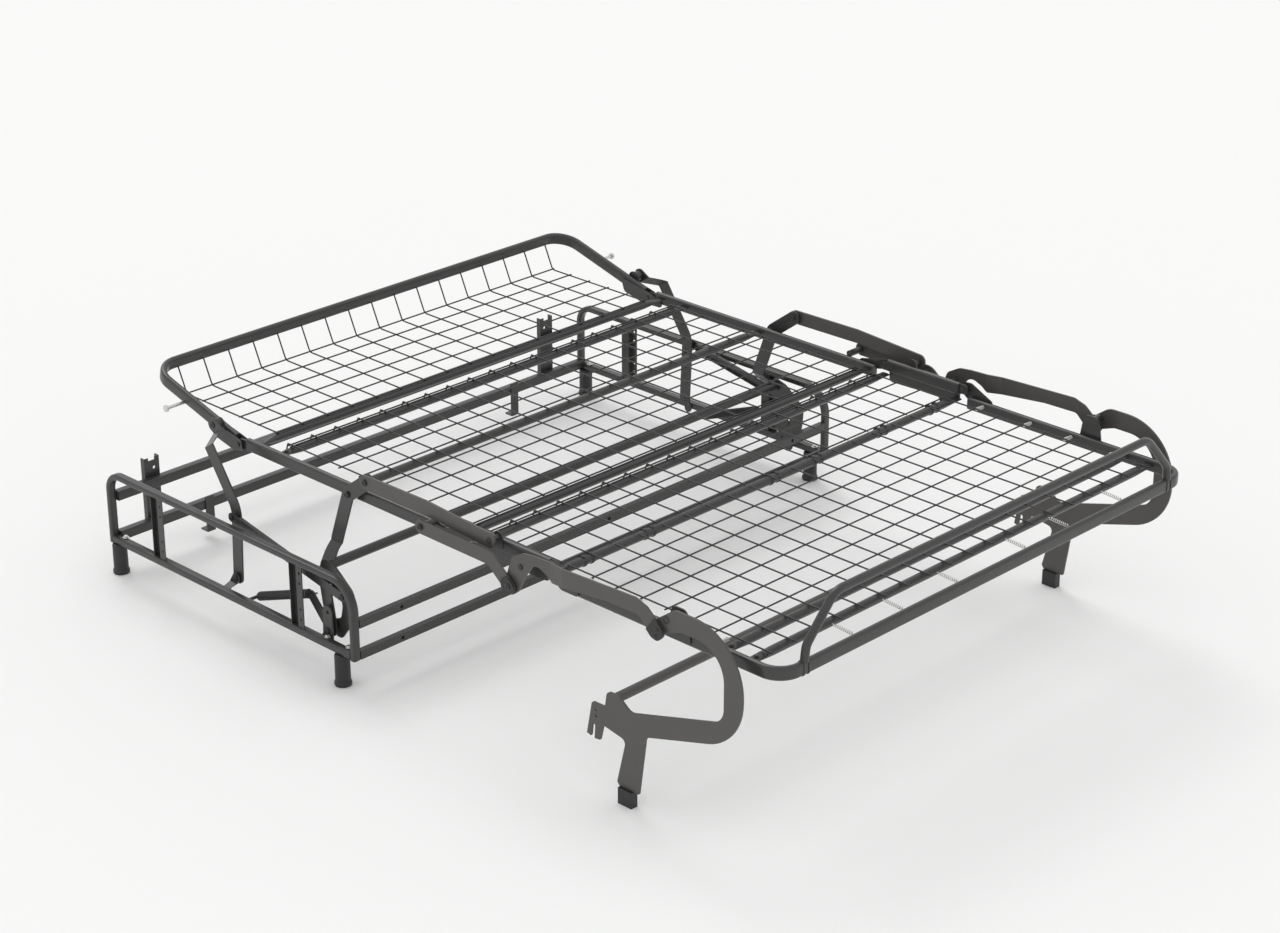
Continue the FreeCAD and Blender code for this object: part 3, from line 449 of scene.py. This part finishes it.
def mesh_clips():
    """Short sleeves that hold the knee's last wires to its cross tube, and hooks on the others."""
    rings = []
    for x in (-553.0, -372.0, 19.0, 162.0, 385.0, 570.0):
        for shift in (-11.0, 11.0):
            rings.append(turned((x + shift - 3.5, -1345.0, CROSS_Z), (1, 0, 0),
                                [(0, 11.4), (0.6, 12.4), (6.4, 12.4), (7, 11.4)], 20))
    build("knee_clips", rings, SPRING_BLACK, "knee")
    for name, body, spots in (("seat_hooks", "seat", ((-1065.0, -1), (-466.0, 1))),
                              ("knee_hooks", "knee", ((-1120.0, 1),))):
        parts = [hook(x, y, way) for x in COLUMNS for y, way in spots]
        build(name, parts, WIRE_COAT, body)


def basket_wires():
    """Head wires: flat over the hinge, then rising straight to the end tube of the head frame."""
    end = head_point(HEAD_LENGTH - 2, 0)
    xs = [i * 74.0 for i in range(-8, 9)]
    parts = []
    for x in xs:
        parts.append(wire([(x, -396, MESH_Z), (x, -62, MESH_Z), (x, end[1], end[2])], [0, 14, 0],
                          normal=(1, 0, 0)))
    for y in (-394.0, -330.0, -262.0, -194.0, -126.0, -62.0):
        parts.append(wire([(xs[0] - 5, y, MESH_Z + 1.5), (xs[-1] + 5, y, MESH_Z + 1.5)]))
    build("head_wires", parts, WIRE_COAT, "head", "head_basket")


# Springs

def springs():
    start = (733.0, -471.0, 86.0)
    hook_end = (733.0, -684.0, 167.0)
    along = np.array([0, hook_end[1] - start[1], hook_end[2] - start[2]], float)
    along /= np.linalg.norm(along)
    coil_end = np.array(start) + along * 194
    body = coil(np.array(start) + along * 8, coil_end, 9.2, 1.75, 46, hooks=False)
    ring = turned(coil_end - along * 1.0, along,
                  [(0, 6.5), (0.2, 11.0), (3.6, 11.0), (4.4, 9.0), (4.5, 4.0)])
    tail = wire([coil_end - along * 10, hook_end], None, 1.9, (1, 0, 0))
    first = wire([start, np.array(start) + along * 12], None, 1.9, (1, 0, 0))
    build("coil_springs", both([body, ring, tail, first]), SPRING_BLACK, "springs",
          "tension_springs")
    inner = BED_X - TUBE[0] / 2
    edge = COLUMNS[-1] + WIRE_R
    parts = []
    for y in (-1431.0, -1568.0, -1682.0, -1806.0):
        parts += both([coil((edge, y, MESH_Z - 3), (inner, y, MESH_Z - 6), 3.4, 0.8, 9)])
    last = -1361.6 - 8 * PITCH
    for x in (-436.0, -284.0, -112.0, 112.0, 259.0, 447.0):
        parts.append(coil((x, last, MESH_Z - 2), (x, FOOT_END_Y + 7, MESH_Z - 6), 3.4, 0.8, 9))
    build("mesh_springs", parts, ZINC, "foot_section", "edge_springs")


# Rivets and clamp bands

def link_rivets():
    """Riveted pin heads on the outer faces of the links, each on the body that carries the pin."""
    heads = {
        "seat": [rivet(689.5, -746, 409), rivet(714.2, -1011, 426.4)],
        "bell_cranks": [rivet(697.0, -815.7, 461.3)],
        "rear_links": [rivet(750.5, -410.6, 266.6, 7.0, 2.0), rivet(690.0, -285, 437)],
        "braces": [rivet(750.5, -786, 197, 7.0, 2.0)],
        "upper_straps": [rivet(695.0, -1204, 452.7)],
        "knee": [rivet(706.2, -1308, 430.5, 6.5, 0.9), rivet(676.0, -1365, 437, 7.0, 2.0)],
        "legs": [rivet(706.5, -1720, 457, 9.0, 1.0)],
        "arms": [rivet(715.0, -1700.4, 430.4, 5.5, 1.6), rivet(715.0, -1697.3, 416.8, 4.0, 1.4)],
        "lower_straps": [rivet(714.7, -1278.8, 379.5, 7.5, 2.2)],
    }
    for body, parts in heads.items():
        build("rivets_" + body, both(parts), SPRING_BLACK, body)


def retainer_clamps():
    """Two bands that clasp the retainer hoop's ends to the foot tube."""
    parts = []
    for shift in (-7.0, 7.0):
        path = [(595.0 + shift, FOOT_END_Y + a, BED_Z + b)
                for a, b in soft_box(TUBE[0] + 1.4, TUBE[1] + 1.4, 7.2, 6)]
        path.append(path[0])
        parts.append(sweep(path, soft_box(1.6, 4.5, 0.7, 3), (1, 0, 0)))
    build("retainer_bands", both(parts), FRAME_COAT, "foot_section")


base_tubes()
foot_parts()
base_fixings()
bed_tubes()
cross_tubes()
wire_meshes()
mesh_clips()
basket_wires()
springs()
link_rivets()
retainer_clamps()


# Camera, light and floor

def camera():
    """Camera of the photograph, found from the square wire mesh and the feet."""
    azimuth = math.radians(-45.624)
    elevation = math.radians(23.767)
    roll = math.radians(-0.045)
    back = np.array([math.sin(azimuth) * math.cos(elevation), -math.cos(azimuth) * math.cos(elevation),
                     math.sin(elevation)])
    right = np.array([math.cos(azimuth), math.sin(azimuth), 0.0])
    up = np.cross(back, right)
    turned_right = math.cos(roll) * right + math.sin(roll) * up
    turned_up = -math.sin(roll) * right + math.cos(roll) * up
    data = bpy.data.cameras.new("camera")
    data.sensor_width = 36.0
    data.lens = 2906.2 / 1280 * 36.0
    data.clip_end = 100.0
    thing = bpy.data.objects.new("camera", data)
    bpy.context.scene.collection.objects.link(thing)
    spot = place([(-4330.2, -5194.8, 2991.6)])[0]
    matrix = np.eye(4)
    matrix[:3, 0], matrix[:3, 1] = turned_right, turned_up
    matrix[:3, 2], matrix[:3, 3] = back, spot
    thing.matrix_world = Matrix(matrix.tolist())
    bpy.context.scene.camera = thing


def sun(spot, strength, spread):
    """Distant soft lamp that shines from the spot towards the origin."""
    data = bpy.data.lights.new("key", "SUN")
    data.energy = strength
    data.angle = math.radians(spread)
    thing = bpy.data.objects.new("key", data)
    bpy.context.scene.collection.objects.link(thing)
    back = np.asarray(spot, float) / np.linalg.norm(spot)
    right = np.cross((0, 0, 1.0), back)
    right /= np.linalg.norm(right)
    matrix = np.eye(4)
    matrix[:3, 0], matrix[:3, 1] = right, np.cross(back, right)
    matrix[:3, 2], matrix[:3, 3] = back, spot
    thing.matrix_world = Matrix(matrix.tolist())


def studio():
    """Pale floor and one soft sun; the sky looks a little brighter to the camera than its light."""
    mesh_data = bpy.data.meshes.new("floor")
    mesh_data.from_pydata([(-30, -30, 0), (30, -30, 0), (30, 30, 0), (-30, 30, 0)], [], [(0, 1, 2, 3)])
    floor = bpy.data.objects.new("floor", mesh_data)
    bpy.context.scene.collection.objects.link(floor)
    material = bpy.data.materials.new("floor_white")
    material.use_nodes = True
    nodes, links = material.node_tree.nodes, material.node_tree.links
    shader = nodes["Principled BSDF"]
    shader.inputs["Base Color"].default_value = (0.90, 0.90, 0.895, 1)
    shader.inputs["Roughness"].default_value = 0.9
    shader.inputs["Specular IOR Level"].default_value = 0.1
    mesh_data.materials.append(material)
    world = bpy.data.worlds.new("studio")
    world.use_nodes = True
    bpy.context.scene.world = world
    nodes, links = world.node_tree.nodes, world.node_tree.links
    background = nodes["Background"]
    path = nodes.new("ShaderNodeLightPath")
    tone = mix(nodes, links, "RGBA", path.outputs["Is Camera Ray"],
               (0.87, 0.87, 0.87, 1), (0.93, 0.93, 0.93, 1))
    links.new(tone, background.inputs["Color"])
    background.inputs["Strength"].default_value = 1.0
    sun((1.5, 4.5, 6.0), 0.75, 30.0)
    bpy.context.scene.view_settings.view_transform = "Standard"


camera()
studio()
